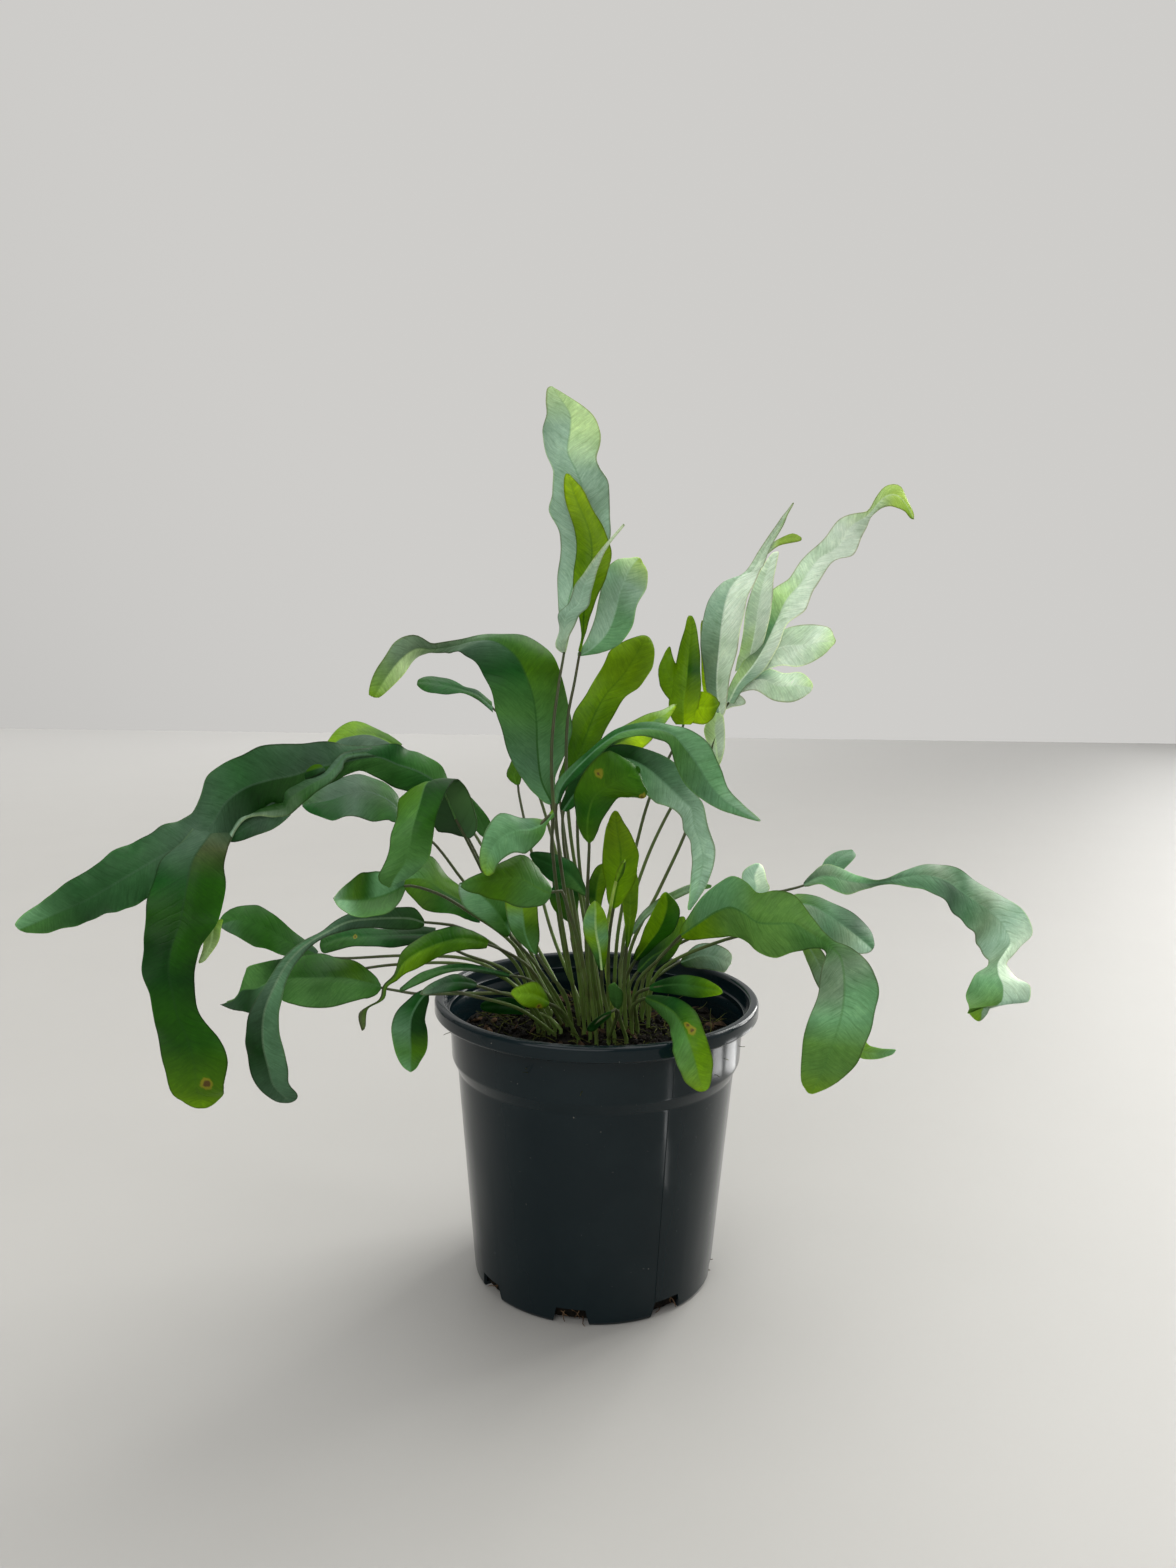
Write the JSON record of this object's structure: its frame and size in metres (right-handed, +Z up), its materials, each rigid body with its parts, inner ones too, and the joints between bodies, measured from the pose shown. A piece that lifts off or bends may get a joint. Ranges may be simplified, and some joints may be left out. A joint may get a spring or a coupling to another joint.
{
  "type": "potted fern",
  "caption": "Blue star fern with lobed and strap-shaped fronds in a round flanged nursery pot filled with soil; stands free on its flat base.",
  "frame": {"origin": "on the pot's axis, in the middle of its flat underside", "axes": "+Z up along the pot's axis, +X to the right of the picture's view, along the fronds' widest spread, +Y away from the viewer"},
  "size_m": [0.3983, 0.1764, 0.3752],
  "materials": {
    "pot": "gloss",
    "soil": "matte",
    "leaf_deep": "satin",
    "leaf_mid": "satin",
    "leaf_grass": "satin",
    "leaf_blue": "satin",
    "leaf_slate": "satin",
    "leaf_sage": "satin",
    "leaf_pale": "satin",
    "leaf_lime": "satin",
    "leaf_olive": "satin",
    "leaf_fresh": "satin"
  },
  "bodies": {
    "root": {"pot": "pot", "soil": "soil", "frond_far_left": "leaf_deep", "frond_left_top_yellow": "leaf_lime", "frond_left_blue": "leaf_blue", "frond_left_fold": "leaf_mid", "frond_left_olive_wide": "leaf_olive", "frond_left_spoon": "leaf_deep", "frond_big_left_top": "leaf_blue", "frond_small_oval_back": "leaf_olive", "frond_left_cup": "leaf_mid", "frond_left_grey": "leaf_slate", "frond_left_leaf_a": "leaf_mid", "frond_left_leaf_b": "leaf_mid", "frond_left_back_tip": "leaf_deep", "frond_left_dark_long": "leaf_deep", "frond_left_olive": "leaf_olive", "frond_left_low_a": "leaf_blue", "frond_left_low_b": "leaf_blue", "frond_left_low_c": "leaf_mid", "frond_front_fold": "leaf_mid", "frond_front_big": "leaf_grass", "frond_front_under": "leaf_blue", "frond_front_tongue": "leaf_grass", "frond_dark_centre": "leaf_deep", "frond_dark_back": "leaf_olive", "frond_left_back_olive": "leaf_olive", "frond_back_small": "leaf_fresh", "frond_centre_lime": "leaf_lime", "frond_top_tall": "leaf_pale", "frond_top_round": "leaf_pale", "frond_right_lime_lobed": "leaf_lime", "frond_right_top_lobed": "leaf_pale", "frond_right_top_curled": "leaf_pale", "frond_right_arch_front": "leaf_blue", "frond_right_arch_back": "leaf_blue", "frond_front_damaged": "leaf_olive", "frond_lime_arch": "leaf_lime", "frond_front_lime": "leaf_lime", "frond_front_lime_back": "leaf_grass", "frond_crozier": "leaf_fresh", "frond_centre_oval": "leaf_fresh", "frond_small_upright": "leaf_blue", "frond_small_low": "leaf_blue", "frond_right_front_down": "leaf_mid", "frond_right_front_short": "leaf_mid", "frond_right_pale_back": "leaf_pale", "frond_right_big_fold": "leaf_grass", "frond_right_back_blue": "leaf_slate", "frond_right_sliver": "leaf_grass", "frond_right_pale_up": "leaf_pale", "frond_far_right": "leaf_sage", "frond_right_dark": "leaf_deep", "frond_right_thin": "leaf_olive", "frond_right_inner": "leaf_deep", "frond_front_small_lime": "leaf_grass", "frond_left_inner": "leaf_deep"}
  },
  "joints": []
}
